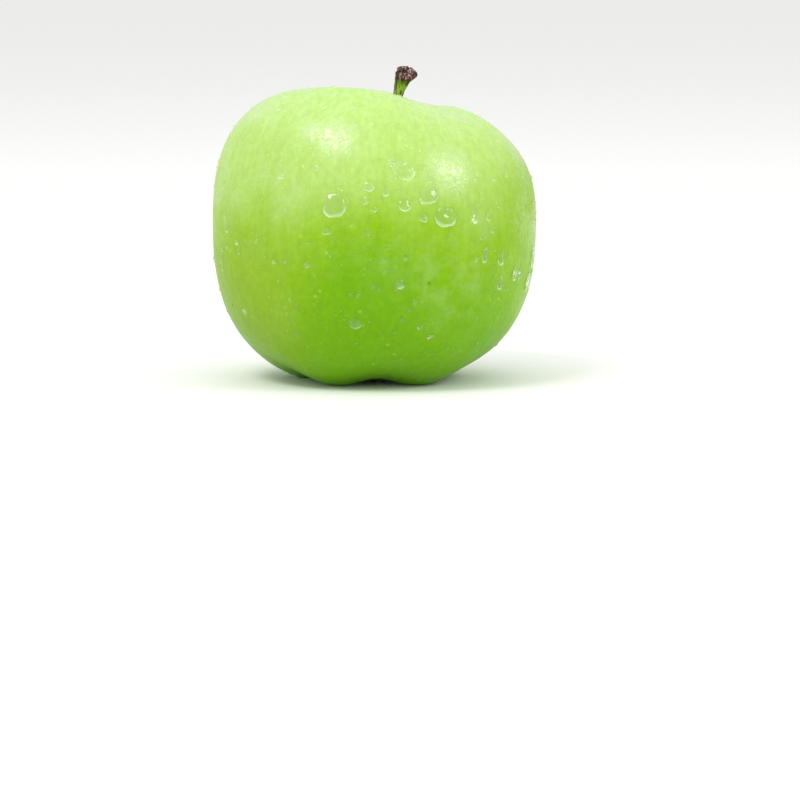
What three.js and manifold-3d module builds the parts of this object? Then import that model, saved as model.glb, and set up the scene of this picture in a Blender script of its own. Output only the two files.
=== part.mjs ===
// A whole green apple, standing on the lobes round its calyx.
// Millimetres, +Z up. The origin is on the surface it stands on, under the middle of the fruit.
// -Y is the fruit's front: its highest shoulder is at the front left and its lowest at the back right.
import * as THREE from "three";
import { mergeVertices } from "three/addons/utils/BufferGeometryUtils.js";
import Module from "manifold-3d";

// ---- Driving dimensions -------------------------------------------------------------------------

const FRUIT = {
  width: 79.4, // across X, at the equator
  depth: 78.2, // across Y, at the equator
  crownRise: 32.75, // equator to crown, as if there were no stem cavity
  baseDrop: 40.05, // equator to base, as if there were no calyx basin
  fullness: { top: 2.6, bottom: 2.58 }, // exponents of the superellipses that the side follows
  columns: 60,
  rows: 42,
  rowBias: 1.35, // over 1 draws the rows towards the cavity and the basin
};

const CAVITY = { depth: 15.5, width: 8.5, sharpness: 1.6, centre: [2.2, 0.6] };
const BASIN = { depth: 11, width: 8.5, sharpness: 1.9, centre: [-0.8, 0.4] };

// The shoulders: a lean of the whole crown, and a low ripple round it.
const SHOULDER = { lift: 4.2, radius: 23, towards: -150, fade: 1.35, ripple: 0.95, waves: 3, turn: 13 };
const BOSS = { height: 0.65, radius: 6.2, centre: [2.8, -20] }; // a low swelling of the front shoulder

// The lobes round the calyx, which the fruit stands on, and the ribs that they fade into.
const LOBE = { count: 5, turn: 23, drop: 1.1, bulge: 0.004, ring: 0.5, uneven: 0.08 };

const FOOT_CUT = 0.4; // how far the flats on the lobes' tips are worn into them
const GAP = 0.3; // between pieces that grow out of one another

const STEM = {
  root: 2.6, // length held inside the fruit
  length: 19.6, // from the floor of the cavity to the rim of the knob
  lean: [5.5, -0.9], // how far the top stands off the root
  leanPower: 1.25,
  faceSlope: 0.5, // the broken end slopes down towards faceTowards
  faceTowards: -78,
  sides: 18,
  rings: 22,
};

// The sepals hang in a ring, with their roots `hang` below the top of the basin's dome.
const SEPAL = {
  count: 5,
  length: 5.2,
  width: 2.6,
  thickness: 0.55,
  ring: 3.2,
  hang: 2.5,
  tuck: 0.7,
  flare: 1.9,
  turn: 54,
};
const STAMENS = { radius: 0.95, length: 3.6 };

const COLOURS = { skin: 0x9acb3a, stem: 0x6d6a2c, sepal: 0x6f5f3c, stamen: 0x4a3a26 };

// ---- Helpers ------------------------------------------------------------------------------------

const wasm = await Module();
wasm.setup();

const radians = THREE.MathUtils.degToRad;
const smooth = THREE.MathUtils.smoothstep;

// A closed geometry as a manifold solid, for a cut.
function solid(geometry) {
  const bare = geometry.clone();
  bare.deleteAttribute("normal");
  bare.deleteAttribute("uv");
  const merged = mergeVertices(bare, 1e-4);
  const vertProperties = new Float32Array(merged.attributes.position.array);
  const triVerts = new Uint32Array(merged.index.array);
  return new wasm.Manifold(new wasm.Mesh({ numProp: 3, vertProperties, triVerts }));
}

// A manifold solid as a geometry with flat normals.
function geometryOf(manifold) {
  const mesh = manifold.getMesh();
  const geometry = new THREE.BufferGeometry();
  geometry.setAttribute("position", new THREE.BufferAttribute(mesh.vertProperties, 3));
  geometry.setIndex(new THREE.BufferAttribute(mesh.triVerts, 1));
  return geometry;
}

// Moves every vertex of a geometry to where rule(vertex) puts it.
function reshape(geometry, rule) {
  const position = geometry.attributes.position;
  const vertex = new THREE.Vector3();
  for (let i = 0; i < position.count; i++) {
    vertex.fromBufferAttribute(position, i);
    const moved = rule(vertex);
    position.setXYZ(i, moved.x, moved.y, moved.z);
  }
  geometry.computeVertexNormals();
  return geometry;
}

function piece(name, geometry, color, roughness) {
  const mesh = new THREE.Mesh(geometry, new THREE.MeshStandardMaterial({ color, roughness, metalness: 0 }));
  mesh.name = name;
  return mesh;
}

// ---- The fruit's skin ---------------------------------------------------------------------------

// 1 at the tip of a lobe and -1 in the groove between two, a little uneven from lobe to lobe.
function lobeWave(azimuth) {
  const wave = Math.cos(LOBE.count * (azimuth - radians(LOBE.turn)));
  return wave + LOBE.uneven * Math.cos(2 * azimuth + 0.7);
}

// A point of the skin. azimuth is round the stem from +X, and polar is 0 at the stem and pi at the
// calyx. Heights are above the equator.
function skinPoint(azimuth, polar) {
  const onTop = polar < Math.PI / 2;
  const hollow = onTop ? CAVITY : BASIN;
  const fromPole = (onTop ? polar : Math.PI - polar) / (Math.PI / 2);
  const turn = (Math.PI / 2) * fromPole ** FRUIT.rowBias;
  const power = 2 / (onTop ? FRUIT.fullness.top : FRUIT.fullness.bottom);
  const ring = Math.sin(turn) ** power;
  const rise = Math.max(Math.cos(turn), 0) ** power;

  const wave = lobeWave(azimuth);
  const ribbing = smooth(polar / Math.PI, 0.2, 0.8);
  const bulge = 1 + LOBE.bulge * wave * ribbing * ring;
  const radius = (FRUIT.width / 2) * ring * bulge;
  const shift = (1 - ring * ring) ** 2;
  const x = radius * Math.cos(azimuth) + hollow.centre[0] * shift;
  const y = radius * (FRUIT.depth / FRUIT.width) * Math.sin(azimuth) + hollow.centre[1] * shift;
  const hole = hollow.depth * Math.exp(-((radius / hollow.width) ** hollow.sharpness));

  if (onTop) {
    const lean = SHOULDER.lift * Math.cos(azimuth - radians(SHOULDER.towards));
    const ripple = SHOULDER.ripple * Math.cos(SHOULDER.waves * (azimuth - radians(SHOULDER.turn)));
    const share = rise ** SHOULDER.fade;
    const near = Math.min(radius / SHOULDER.radius, 1);
    const fromBoss = Math.hypot(x - BOSS.centre[0], y - BOSS.centre[1]) / BOSS.radius;
    const swelling = share * ((lean * radius) / SHOULDER.radius + ripple * near ** 2);
    const boss = BOSS.height * Math.exp(-(fromBoss ** 2));
    return new THREE.Vector3(x, y, FRUIT.crownRise * rise - hole + swelling + boss);
  }
  const reach = (ring / LOBE.ring) ** 2;
  const drop = LOBE.drop * wave * reach * Math.exp(1 - reach);
  return new THREE.Vector3(x, y, -FRUIT.baseDrop * rise + hole - drop);
}

// The whole skin, closed, at its height above the flats that it stands on.
function skinGeometry() {
  const sphere = new THREE.SphereGeometry(1, FRUIT.columns, FRUIT.rows);
  sphere.rotateX(Math.PI / 2);
  const skin = reshape(sphere, (v) => {
    const polar = Math.acos(THREE.MathUtils.clamp(v.z, -1, 1));
    const onAxis = Math.hypot(v.x, v.y) < 1e-6;
    return skinPoint(onAxis ? 0 : Math.atan2(v.y, v.x), onAxis ? (v.z > 0 ? 0 : Math.PI) : polar);
  });
  skin.computeBoundingBox();
  const equatorHeight = -skin.boundingBox.min.z - FOOT_CUT;
  skin.translate(0, 0, equatorHeight);
  return { skin, equatorHeight };
}

// ---- The stem -----------------------------------------------------------------------------------

// Radius against height above the floor of the cavity, from the root up to the hollow of the knob.
function stemProfile(spare) {
  const top = STEM.length;
  const outline = new THREE.SplineCurve([
    new THREE.Vector2(1.5, -STEM.root),
    new THREE.Vector2(1.5, 0),
    new THREE.Vector2(1.35, 3),
    new THREE.Vector2(1.2, 8),
    new THREE.Vector2(1.2, 12),
    new THREE.Vector2(1.3, top - 4.9),
    new THREE.Vector2(1.55, top - 3.4),
    new THREE.Vector2(1.95, top - 1.9),
    new THREE.Vector2(2.4, top - 0.7),
    new THREE.Vector2(2.25, top),
    new THREE.Vector2(1.2, top - 0.4),
  ]).getPoints(STEM.rings);
  const points = [new THREE.Vector2(0, -STEM.root - spare)];
  outline.forEach((p) => points.push(new THREE.Vector2(p.x + spare, p.y - (p === outline[0] ? spare : 0))));
  points.push(new THREE.Vector2(0, top - 0.7));
  return points;
}

// The stem stands at the middle of the cavity, leans, and ends in a knob with a sloping face.
function stemGeometry(footing, spare) {
  const lathe = new THREE.LatheGeometry(stemProfile(spare), STEM.sides);
  lathe.rotateX(Math.PI / 2);
  const down = radians(STEM.faceTowards);
  return reshape(lathe, (v) => {
    const share = THREE.MathUtils.clamp(v.z / STEM.length, 0, 1);
    const lean = share ** STEM.leanPower;
    const slope = STEM.faceSlope * smooth(share, 0.75, 1) * (v.x * Math.cos(down) + v.y * Math.sin(down));
    return new THREE.Vector3(
      v.x + footing.x + STEM.lean[0] * lean,
      v.y + footing.y + STEM.lean[1] * lean,
      v.z + footing.z - slope,
    );
  });
}

// ---- The calyx ----------------------------------------------------------------------------------

// Half the width of a sepal, from 0 at its root to 1 at its tip.
function sepalHalfWidth(share) {
  const outline = Math.sin(Math.PI * (0.28 + 0.72 * share)) ** 0.8;
  return Math.max((SEPAL.width / 2) * outline, 0.15);
}

// One dried sepal: it hangs from the floor of the basin, tucks in over the stamens and flares at its tip.
function sepalGeometry(floor, turn) {
  const blade = new THREE.BoxGeometry(1, 1, 1, 4, 8, 1);
  const angle = radians(turn);
  return reshape(blade, (v) => {
    const share = v.y + 0.5;
    const sideways = 2 * v.x * sepalHalfWidth(share);
    const inward = SEPAL.tuck * Math.sin(Math.PI * share * 0.9);
    const cup = 0.12 * sideways * sideways;
    const radius = SEPAL.ring - inward + SEPAL.flare * share ** 3 - cup - v.z * SEPAL.thickness;
    return new THREE.Vector3(
      floor.x + radius * Math.cos(angle) - sideways * Math.sin(angle),
      floor.y + radius * Math.sin(angle) + sideways * Math.cos(angle),
      floor.z - SEPAL.hang - share * SEPAL.length,
    );
  });
}

// The tuft of dried stamens in the middle of the calyx, as one ragged-ended plug.
function stamenGeometry(floor) {
  const { radius, length } = STAMENS;
  const profile = new THREE.SplineCurve([
    new THREE.Vector2(radius * 0.8, 0),
    new THREE.Vector2(radius * 0.7, -length * 0.5),
    new THREE.Vector2(radius, -length),
  ]).getPoints(6);
  const closed = [new THREE.Vector2(0, 0), ...profile, new THREE.Vector2(0, -length * 0.86)].reverse();
  const lathe = new THREE.LatheGeometry(closed, 12);
  lathe.rotateX(Math.PI / 2);
  lathe.translate(floor.x, floor.y, floor.z - 2 * GAP);
  return lathe;
}

// ---- Assembly -----------------------------------------------------------------------------------

const { skin, equatorHeight } = skinGeometry();
const cavityFloor = skinPoint(0, 0);
cavityFloor.z += equatorHeight;
const basinFloor = skinPoint(0, Math.PI);
basinFloor.z += equatorHeight;

const underfoot = new THREE.BoxGeometry(2 * FRUIT.width, 2 * FRUIT.width, 20);
underfoot.translate(0, 0, -10);
const flesh = solid(skin).subtract(solid(underfoot)).subtract(solid(stemGeometry(cavityFloor, GAP)));
const fruit = geometryOf(flesh);

const apple = new THREE.Group();
apple.add(piece("fruit", fruit, COLOURS.skin, 0.35));
apple.add(piece("stem", stemGeometry(cavityFloor, 0), COLOURS.stem, 0.8));
for (let i = 0; i < SEPAL.count; i++) {
  const turn = SEPAL.turn + (360 / SEPAL.count) * i;
  apple.add(piece(`sepal_${i + 1}`, sepalGeometry(basinFloor, turn), COLOURS.sepal, 0.9));
}
apple.add(piece("stamens", stamenGeometry(basinFloor), COLOURS.stamen, 0.9));

// The origin goes under the middle of the fruit's box.
fruit.computeBoundingBox();
const middle = fruit.boundingBox.getCenter(new THREE.Vector3());
apple.position.set(-middle.x, -middle.y, 0);

export default apple;
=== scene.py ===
"""The looks of a whole green apple, wet with drops of water, over its CAD frame.

It is laid out as an add-on and runs as a script. Everything is in metres, +Z up, with -Y the
fruit's front. The fruit, its stamens and its drops of water are made by Geometry Nodes; the stem
and the sepals are lofted in mesh code.
"""

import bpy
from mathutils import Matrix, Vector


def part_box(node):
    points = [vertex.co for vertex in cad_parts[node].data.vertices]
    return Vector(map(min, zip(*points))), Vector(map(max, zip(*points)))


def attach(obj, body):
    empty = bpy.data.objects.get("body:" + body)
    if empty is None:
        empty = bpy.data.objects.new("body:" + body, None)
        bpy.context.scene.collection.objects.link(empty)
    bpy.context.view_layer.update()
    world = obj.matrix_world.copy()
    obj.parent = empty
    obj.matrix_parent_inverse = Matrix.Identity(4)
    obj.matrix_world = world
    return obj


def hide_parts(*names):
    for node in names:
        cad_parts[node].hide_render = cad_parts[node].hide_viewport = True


bl_info = {
    "name": "Green Apple",
    "version": (1, 0, 0),
    "blender": (4, 5, 0),
    "location": "3D View > Sidebar > Apple",
    "description": "Makes a whole green apple, its stem, its calyx and the drops of water on it",
    "category": "Add Mesh",
}

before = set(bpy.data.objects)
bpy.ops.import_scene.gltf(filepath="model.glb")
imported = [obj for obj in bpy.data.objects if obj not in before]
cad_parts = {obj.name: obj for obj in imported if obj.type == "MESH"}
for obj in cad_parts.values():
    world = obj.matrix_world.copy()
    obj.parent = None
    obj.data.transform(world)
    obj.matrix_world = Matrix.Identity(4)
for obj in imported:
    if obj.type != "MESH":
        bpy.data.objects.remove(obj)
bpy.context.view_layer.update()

from math import cos, exp, pi, radians, sin, tau
from types import SimpleNamespace

import bpy
from bpy.props import (
    FloatProperty,
    FloatVectorProperty,
    IntProperty,
    PointerProperty,
)
from mathutils import Vector, noise
from mathutils.bvhtree import BVHTree

MM = 0.001
BODY = "root"

FRUIT_LOW, FRUIT_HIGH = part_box("fruit")
FRUIT_TALL = FRUIT_HIGH[2] - FRUIT_LOW[2]


# ---- Settings -----------------------------------------------------------------------------------


def linear(paint):
    """A paint chart's 0xRRGGBB as the linear colour that Blender works in."""
    channels = ((paint >> shift & 255) / 255 for shift in (16, 8, 0))
    return tuple(c / 12.92 if c <= 0.04045 else ((c + 0.055) / 1.055) ** 2.4 for c in channels)


def length(name, description, millimetres):
    return FloatProperty(
        name=name,
        description=description,
        default=millimetres * MM,
        subtype="DISTANCE",
        unit="LENGTH",
        precision=5,
    )


def angle(name, description, degrees):
    return FloatProperty(
        name=name, description=description, default=radians(degrees), subtype="ANGLE", unit="ROTATION"
    )


def number(name, description, value):
    return FloatProperty(name=name, description=description, default=value)


def count(name, description, value):
    return IntProperty(name=name, description=description, default=value, min=0)


def colour(name, description, paint):
    return FloatVectorProperty(
        name=name, description=description, default=linear(paint), subtype="COLOR", size=3, min=0, max=1
    )


class AppleFruitSettings(bpy.types.PropertyGroup):
    """The fruit's outline, which follows one rule, and the colours of its skin."""

    width: length("Width", "Across the fruit, left to right", 79.4)
    depth: length("Depth", "Across the fruit, front to back", 78.2)
    crown_rise: length("Crown rise", "Equator to crown, as if it had no stem cavity", 32.75)
    base_drop: length("Base drop", "Equator to base, as if it had no calyx basin", 40.05)
    top_fullness: number("Top fullness", "Exponent of the upper side's superellipse", 2.6)
    bottom_fullness: number("Bottom fullness", "Exponent of the lower side's superellipse", 2.58)
    row_bias: number("Row bias", "Over 1 draws the rows of faces towards the cavity and the basin", 1.35)
    cavity_depth: length("Cavity depth", "How deep the stem cavity is sunk", 15.5)
    cavity_width: length("Cavity width", "Radius that the stem cavity keeps to", 8.5)
    cavity_sharpness: number("Cavity sharpness", "Exponent of the stem cavity's side", 1.6)
    cavity_x: length("Cavity to the right", "How far the cavity stands off the middle", 2.2)
    cavity_y: length("Cavity to the back", "How far the cavity stands off the middle", 0.6)
    basin_depth: length("Basin depth", "How deep the calyx basin is sunk", 11.0)
    basin_width: length("Basin width", "Radius that the calyx basin keeps to", 8.5)
    basin_sharpness: number("Basin sharpness", "Exponent of the calyx basin's side", 1.9)
    basin_x: length("Basin to the right", "How far the basin stands off the middle", -0.8)
    basin_y: length("Basin to the back", "How far the basin stands off the middle", 0.4)
    shoulder_lift: length("Shoulder lift", "How much higher the high shoulder stands", 4.2)
    shoulder_radius: length("Shoulder radius", "Radius of the shoulders", 23.0)
    shoulder_towards: angle("Shoulder direction", "Where the high shoulder is, from the right", -150)
    shoulder_fade: number("Shoulder fade", "How fast the lean of the crown fades down the side", 1.35)
    ripple: length("Ripple", "Height of the low waves round the shoulders", 0.95)
    ripple_turn: angle("Ripple direction", "Where one of the three waves is, from the right", 13)
    boss_height: length("Boss", "Height of a low swelling of the front shoulder", 0.65)
    boss_radius: length("Boss radius", "How far the swelling spreads", 6.2)
    boss_x: length("Boss to the right", "How far the swelling stands off the middle", 2.8)
    boss_y: length("Boss to the back", "How far the swelling stands off the middle", -20.0)
    lobe_drop: length("Lobe drop", "How far the five lobes reach below the base", 1.1)
    lobe_bulge: number("Rib bulge", "How far the ribs stand out, as a share of the radius", 0.004)
    lobe_ring: number("Lobe ring", "Radius of the ring of lobes, as a share of the fruit's", 0.5)
    lobe_turn: angle("Lobe direction", "Where one of the lobes is, from the right", 23)
    lobe_uneven: number("Lobe unevenness", "How much the lobes differ from one another", 0.08)
    foot_cut: length("Foot flats", "How far the lobes' tips are worn flat", 0.4)
    dimpling: length("Dimpling", "Height of the shallow unevenness of the skin", 0.32)

    # The greens below step up from base to crown: partly the skin's own colour, partly painted shade at the
    # darker base and painted light at the paler crown.
    base_green: colour("Base green", "Skin near the calyx", 0x6EA600)
    cheek_green: colour("Cheek green", "Skin round the widest part", 0x87B40C)
    shoulder_green: colour("Shoulder green", "Skin on the shoulders", 0xA8CB65)
    crown_green: colour("Crown green", "Skin near the stem cavity", 0xB2D47C)
    # A yellower tone, laid in a patch low on the left and in the calyx basin.
    warm_yellow: colour("Sun yellow", "Faint blush on the side that had the sun", 0x92A81C)
    # Pale colour of the wax bloom; it also paints the sheen towards the top and the highlights in the wet
    # patches.
    bloom_and_sheen_white: colour("Bloom", "Thin haze of natural wax", 0xC6DAA6)
    pore_pale: colour("Pores", "Pale dots all over the skin", 0xC4E070)
    russet: colour("Russet", "Corky skin round the stem", 0x8A7A2E)


class AppleStemSettings(bpy.types.PropertyGroup):
    """The stem, from its root in the cavity to its broken knob."""

    root: length("Root", "Length held inside the fruit", 2.6)
    tall: length("Length", "From the floor of the cavity to the rim of the knob", 19.6)
    lean_x: length("Lean to the right", "How far its top stands off its root", 5.5)
    lean_y: length("Lean to the back", "How far its top stands off its root", -0.9)
    lean_power: number("Lean power", "Over 1 bends the stem towards its top", 1.25)
    face_slope: number("Slope of the end", "Drop of the broken end over its radius", 0.5)
    face_towards: angle("Slope direction", "Where the broken end slopes down to", -78)
    bark_green: colour("Bark green", "Young bark of the shaft", 0x93B238)
    bark_shade: colour("Bark shade", "Furrows and the root of the shaft", 0x35480C)
    wood_brown: colour("Knob brown", "Bark of the knob", 0x5A3026)
    wood_pale: colour("Torn wood", "Fibres of the broken end", 0xDDBBAA)
    # Dark wood in the knob's bark, and the painted shade in the hollow and cracks of the broken end.
    dark_wood_and_hollow_shade: colour("Hollow", "Cracks of the broken end", 0x16090A)


class AppleCalyxSettings(bpy.types.PropertyGroup):
    """The dried sepals and stamens in the basin under the fruit."""

    sepal_length: length("Sepal length", "Root to tip", 6.0)
    sepal_width: length("Sepal width", "Across its widest part", 3.0)
    sepal_thick: length("Sepal thickness", "At its root", 0.5)
    sepal_ring: length("Sepal ring", "Radius of the ring that the sepals stand on", 3.2)
    sepal_hang: length("Sepal hang", "How far their roots are below the top of the basin", 1.7)
    sepal_tuck: length("Sepal tuck", "How far they lean in over the stamens", 0.8)
    sepal_flare: length("Sepal flare", "How far their tips curl out again", 2.4)
    sepal_turn: angle("Sepal direction", "Where the first sepal is, from the right", 54)
    threads: count("Stamens", "How many dried stamens there are", 20)
    thread_long: length("Stamen length", "Length of the longest stamen", 3.6)
    thread_thick: length("Stamen thickness", "Radius of one thread", 0.09)
    tuft_radius: length("Tuft radius", "Radius of the ring of stamens", 0.75)
    thread_seed: count("Seed", "Changes how the stamens lie", 4)
    sepal_brown: colour("Sepal brown", "Dry blade", 0x8A7448)
    sepal_shade: colour("Sepal shade", "Dry blade's edge and veins", 0x3B2C18)
    thread_brown: colour("Stamen brown", "Dry threads", 0x4E3B22)


class AppleWaterSettings(bpy.types.PropertyGroup):
    """Drops of water on the skin: a few large ones and many small."""

    smallest: length("Smallest", "Across the smallest scattered drop", 0.34)
    largest: length("Largest", "Across the largest scattered drop", 1.5)
    rarity: number("Rarity", "Over 1 makes large scattered drops rarer", 3.6)
    density: number("Density", "Scattered drops for each square metre of skin", 70000)
    spacing: length("Spacing", "Least distance between scattered drops", 0.9)
    seed: count("Seed", "Changes where the scattered drops are", 11)
    wander: length("Wander", "How far the edges of the drops stray from round", 0.5)
    clearness: number("Clearness", "Share of what is behind a drop that shows through unbent", 0.30)
    # Painted caustic: the share and the rim colour below paint a pale crescent along each drop's lower rim,
    # standing in for the light that it gathers.
    painted_caustic_share: number("Gathering", "Share of the light that a drop's lower rim sends back", 0.6)
    tint: colour("Tint", "Colour of the water", 0xFFFFFF)
    rim: colour("Rim", "Light gathered along the lower rim of a drop", 0xD8F47C)


class AppleStageSettings(bpy.types.PropertyGroup):
    """The floor, the lights and the camera."""

    floor_colour: colour("Floor", "Plain pale floor", 0xF4F4F2)
    view_height: angle("View height", "How far the camera looks down on the apple", 4.5)
    view_distance: length("View distance", "Camera to apple", 900)
    view_width: length("View width", "Width seen at the apple", 197)
    aim_right: length("Aim right", "How far the camera aims to the right of the apple", 6.3)
    aim_down: length("Aim down", "How far the camera aims below the apple's middle", 43.4)
    sky: number("Sky", "Strength of the even white light from all round", 0.92)
    key: number("Key light", "Watts of the light from the upper left", 4.2)
    side: number("Side light", "Watts of the light from the right", 2.4)
    top: number("Top light", "Watts of the broad light overhead", 4)


# ---- Building node trees ------------------------------------------------------------------------


class Wire:
    """A value on its way through a node tree. Arithmetic on it adds Math nodes."""

    def __init__(self, bench, socket):
        self.bench = bench
        self.socket = socket

    def __add__(self, other):
        return self.bench.math("ADD", self, other)

    def __sub__(self, other):
        return self.bench.math("SUBTRACT", self, other)

    def __rsub__(self, other):
        return self.bench.math("SUBTRACT", other, self)

    def __mul__(self, other):
        return self.bench.math("MULTIPLY", self, other)

    def __truediv__(self, other):
        return self.bench.math("DIVIDE", self, other)

    def __rtruediv__(self, other):
        return self.bench.math("DIVIDE", other, self)

    def __pow__(self, other):
        return self.bench.math("POWER", self, other)

    __radd__ = __add__
    __rmul__ = __mul__


class Bench:
    """Adds nodes to one tree and wires them up."""

    MIX_SOCKETS = {"FLOAT": (2, 0), "VECTOR": (4, 1), "RGBA": (6, 2)}

    def __init__(self, tree):
        self.tree = tree

    def feed(self, socket, value):
        """Wires a socket up or sets it. A colour of three parts is made opaque."""
        if isinstance(value, Wire):
            self.tree.links.new(value.socket, socket)
        elif socket.type == "RGBA" and len(value) == 3:
            socket.default_value = (*value, 1)
        else:
            socket.default_value = value

    def node(self, kind, inputs=None, output=0, **settings):
        """Adds a node and gives the wire from one of its outputs."""
        node = self.tree.nodes.new(kind)
        for name, value in settings.items():
            setattr(node, name, value)
        for key, value in (inputs or {}).items():
            self.feed(node.inputs[key], value)
        return Wire(self, node.outputs[output]) if len(node.outputs) else node

    def math(self, operation, *values):
        return self.node("ShaderNodeMath", dict(enumerate(values)), operation=operation)

    def vector_math(self, operation, *values, output="Vector"):
        return self.node("ShaderNodeVectorMath", dict(enumerate(values)), output, operation=operation)

    def mix(self, share, first, second, kind="RGBA", blend="MIX"):
        """first where share is 0, second where it is 1."""
        slot, output = self.MIX_SOCKETS[kind]
        inputs = {0: share, slot: first, slot + 1: second}
        return self.node("ShaderNodeMix", inputs, output, data_type=kind, blend_type=blend)

    def step(self, value, low, high):
        """0 below low, 1 above high, smooth between; or the other way round if low is above high."""
        inputs = {"Value": value, "From Min": low, "From Max": high}
        return self.node("ShaderNodeMapRange", inputs, interpolation_type="SMOOTHSTEP")

    def combine(self, x, y, z):
        return self.node("ShaderNodeCombineXYZ", {0: x, 1: y, 2: z})

    def split(self, vector):
        """The three parts of a vector, as wires."""
        node = self.node("ShaderNodeSeparateXYZ", {0: vector}).socket.node
        return [Wire(self, socket) for socket in node.outputs]

    def noise(self, vector, scale, detail=2.0, roughness=0.5, output="Fac", stretch=None):
        if stretch:
            vector = self.vector_math("MULTIPLY", vector, stretch)
        inputs = {"Vector": vector, "Scale": scale, "Detail": detail, "Roughness": roughness}
        return self.node("ShaderNodeTexNoise", inputs, output)

    def dots(self, vector, scale, radius):
        """1 in the middle of round dots, about one to a cell, 0 outside. radius is a share of a cell."""
        inputs = {"Vector": vector, "Scale": scale}
        distance = self.node("ShaderNodeTexVoronoi", inputs, "Distance", feature="F1")
        return self.step(distance, radius, 0.0)

    def scaled(self, vector, by):
        wire = self.vector_math("SCALE", vector)
        self.feed(wire.socket.node.inputs["Scale"], by)
        return wire

    def random(self, low, high, seed):
        inputs = {2: low, 3: high, "Seed": seed}
        return self.node("FunctionNodeRandomValue", inputs, 1, data_type="FLOAT")

    def store(self, geometry, name, value, kind="FLOAT"):
        """Keeps a value on a mesh's points, for its material to read."""
        inputs = {"Geometry": geometry, "Name": name, "Value": value}
        return self.node("GeometryNodeStoreNamedAttribute", inputs, data_type=kind, domain="POINT")

    def stored(self, name, output="Fac"):
        """Reads such a value in a material."""
        return self.node("ShaderNodeAttribute", output=output, attribute_name=name)

    def join(self, *parts):
        joined = self.node("GeometryNodeJoinGeometry")
        for part in parts:
            self.tree.links.new(part.socket, joined.socket.node.inputs[0])
        return joined

    def bump(self, relief, distance, strength=0.8):
        return self.node("ShaderNodeBump", {"Strength": strength, "Distance": distance, "Height": relief})


def grow(name, mesh, settings, fields, build, material):
    """Runs a new Geometry Nodes tree on a new object and keeps the result as a plain mesh.

    build(bench, geometry, size) adds the nodes between the tree's input and its last two, and size
    holds a named input of the tree for each of the fields of settings.
    """
    tree = bpy.data.node_groups.new(name, "GeometryNodeTree")
    tree.interface.new_socket("Geometry", in_out="INPUT", socket_type="NodeSocketGeometry")
    tree.interface.new_socket("Geometry", in_out="OUTPUT", socket_type="NodeSocketGeometry")
    bench = Bench(tree)
    keys = {}
    for field in fields:
        label = settings.bl_rna.properties[field].name
        whole = isinstance(getattr(settings, field), int)
        kind = "NodeSocketInt" if whole else "NodeSocketFloat"
        keys[field] = tree.interface.new_socket(label, in_out="INPUT", socket_type=kind).identifier
    start = tree.nodes.new("NodeGroupInput")
    wires = {socket.identifier: Wire(bench, socket) for socket in start.outputs if socket.identifier}
    size = SimpleNamespace(**{field: wires[key] for field, key in keys.items()})

    grown = build(bench, Wire(bench, start.outputs["Geometry"]), size)
    plain = bench.node("GeometryNodeRealizeInstances", {"Geometry": grown})
    smooth = bench.node("GeometryNodeSetShadeSmooth", {"Geometry": plain})
    painted = bench.node("GeometryNodeSetMaterial", {"Geometry": smooth, "Material": material})
    bench.node("NodeGroupOutput", {"Geometry": painted})

    piece = bpy.data.objects.new(name, mesh)
    bpy.context.collection.objects.link(piece)
    modifier = piece.modifiers.new(name, "NODES")
    modifier.node_group = tree
    for field, key in keys.items():
        modifier[key] = getattr(settings, field)
    depsgraph = bpy.context.evaluated_depsgraph_get()
    finished = bpy.data.meshes.new_from_object(
        piece.evaluated_get(depsgraph), preserve_all_data_layers=True, depsgraph=depsgraph
    )
    piece.modifiers.clear()
    piece.data = finished
    finished.name = name
    if not len(finished.polygons):
        raise RuntimeError(f"{name}: its tree made nothing")
    return piece


def new_mesh(name, points, faces, material, attributes=None):
    """A smooth mesh object from points and faces, with a number for each point in each attribute."""
    mesh = bpy.data.meshes.new(name)
    mesh.from_pydata(points, [], faces)
    mesh.validate()
    for key, values in (attributes or {}).items():
        mesh.attributes.new(key, "FLOAT", "POINT").data.foreach_set("value", values)
    mesh.materials.append(material)
    mesh.shade_smooth()
    piece = bpy.data.objects.new(name, mesh)
    bpy.context.collection.objects.link(piece)
    return piece


def loft_faces(rings, sides):
    """Quads between rings of points and a fan to a pole at each end. The poles come last."""
    faces = []
    for ring in range(rings - 1):
        for side in range(sides):
            here, over = ring * sides, (side + 1) % sides
            faces.append((here + side, here + over, here + sides + over, here + sides + side))
    first, last = rings * sides, rings * sides + 1
    top = (rings - 1) * sides
    for side in range(sides):
        over = (side + 1) % sides
        faces.append((first, over, side))
        faces.append((last, top + side, top + over))
    return faces


def finish_piece(piece, slot, *nodes):
    """A finished piece stands for its CAD nodes, which it hides, and is attached to the body; its slot is not
    used.
    """
    if nodes:
        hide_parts(*nodes)
    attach(piece, BODY)


def new_material(name):
    """A material with an empty tree, its bench, and the wire of the object's own coordinates."""
    material = bpy.data.materials.new(name)
    material.use_nodes = True
    material.node_tree.nodes.clear()
    bench = Bench(material.node_tree)
    place = bench.node("ShaderNodeTexCoord", output="Object")
    return material, bench, place


def surface(bench, **inputs):
    """A Principled surface. An underscore in an input's name stands for a space."""
    named = {key.replace("_", " "): value for key, value in inputs.items()}
    shader = bench.node("ShaderNodeBsdfPrincipled", named)
    bench.node("ShaderNodeOutputMaterial", {"Surface": shader})


def smoothstep(value, low, high):
    share = min(max((value - low) / (high - low), 0.0), 1.0)
    return share * share * (3 - 2 * share)


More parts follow.
